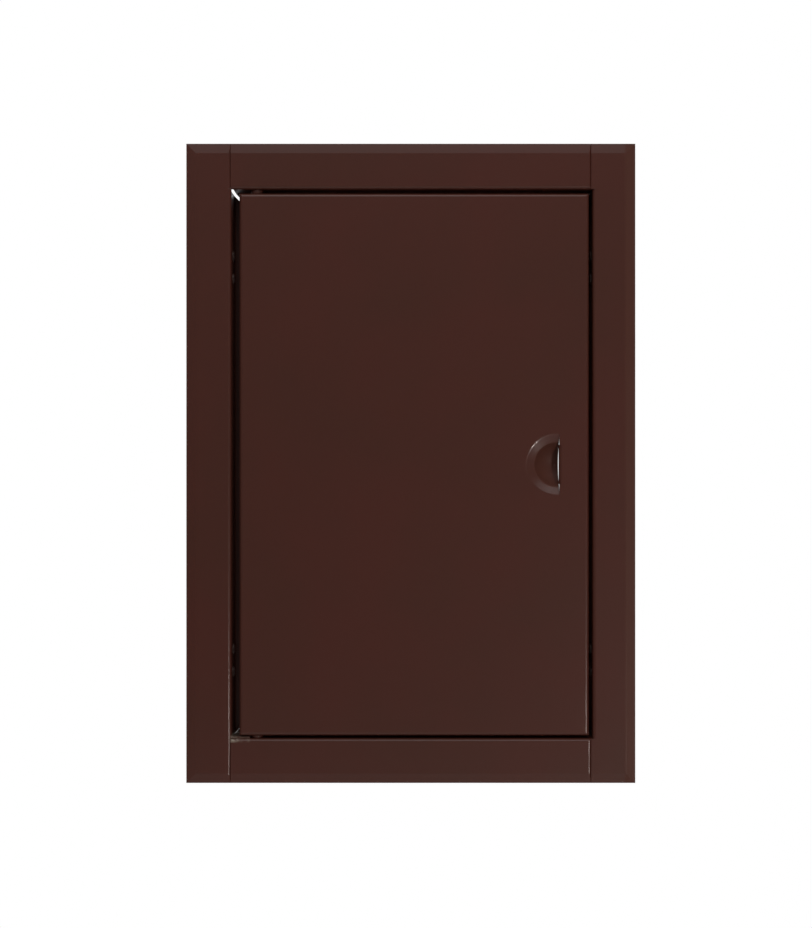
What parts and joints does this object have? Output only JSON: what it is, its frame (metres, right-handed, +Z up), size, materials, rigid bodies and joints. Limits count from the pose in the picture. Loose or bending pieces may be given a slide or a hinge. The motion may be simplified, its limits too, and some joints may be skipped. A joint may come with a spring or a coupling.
{
  "type": "access panel",
  "caption": "Steel access panel for a wall recess: a flanged frame with a flush door that swings out on pins and has a pressed half-moon finger pull.",
  "frame": {"origin": "centre of the flange, on the plane of the wall's face, which the flange's outer edge meets", "axes": "+Z up, +X to the right seen from the front, +Y into the wall"},
  "size_m": [0.236, 0.0476, 0.336],
  "materials": {
    "coat": "chocolate brown powder coat, satin",
    "zinc": "zinc plated, satin",
    "ferrite": "dark grey sintered, matt"
  },
  "bodies": {
    "frame": {"rail_left": "coat", "rail_right": "coat", "rail_top": "coat", "rail_bottom": "coat", "splice_top_left": "coat", "splice_top_right": "coat", "splice_bottom_left": "coat", "splice_bottom_right": "coat", "hinge_pin_upper": "coat", "hinge_pin_lower": "coat", "hinge_washer_lower": "coat", "hinge_clip_upper": "zinc", "hinge_clip_lower": "zinc", "lug_upper_left": "zinc", "lug_lower_left": "zinc", "lug_upper_right": "zinc", "lug_lower_right": "zinc", "rivets_upper_left": "zinc", "rivets_lower_left": "zinc", "rivets_upper_right": "zinc", "rivets_lower_right": "zinc", "catch_rivets": "zinc", "catch_magnet_upper": "ferrite", "catch_magnet_lower": "ferrite"},
    "door": {"door_leaf": "coat", "hinge_washer_upper": "coat"}
  },
  "joints": [
    {"name": "door_hinge", "type": "hinge", "parent": "frame", "child": "door", "pos_m": [-0.0812, 0.0042, 0], "axis": [0, 0, -1], "range_deg": [0, 115]}
  ]
}
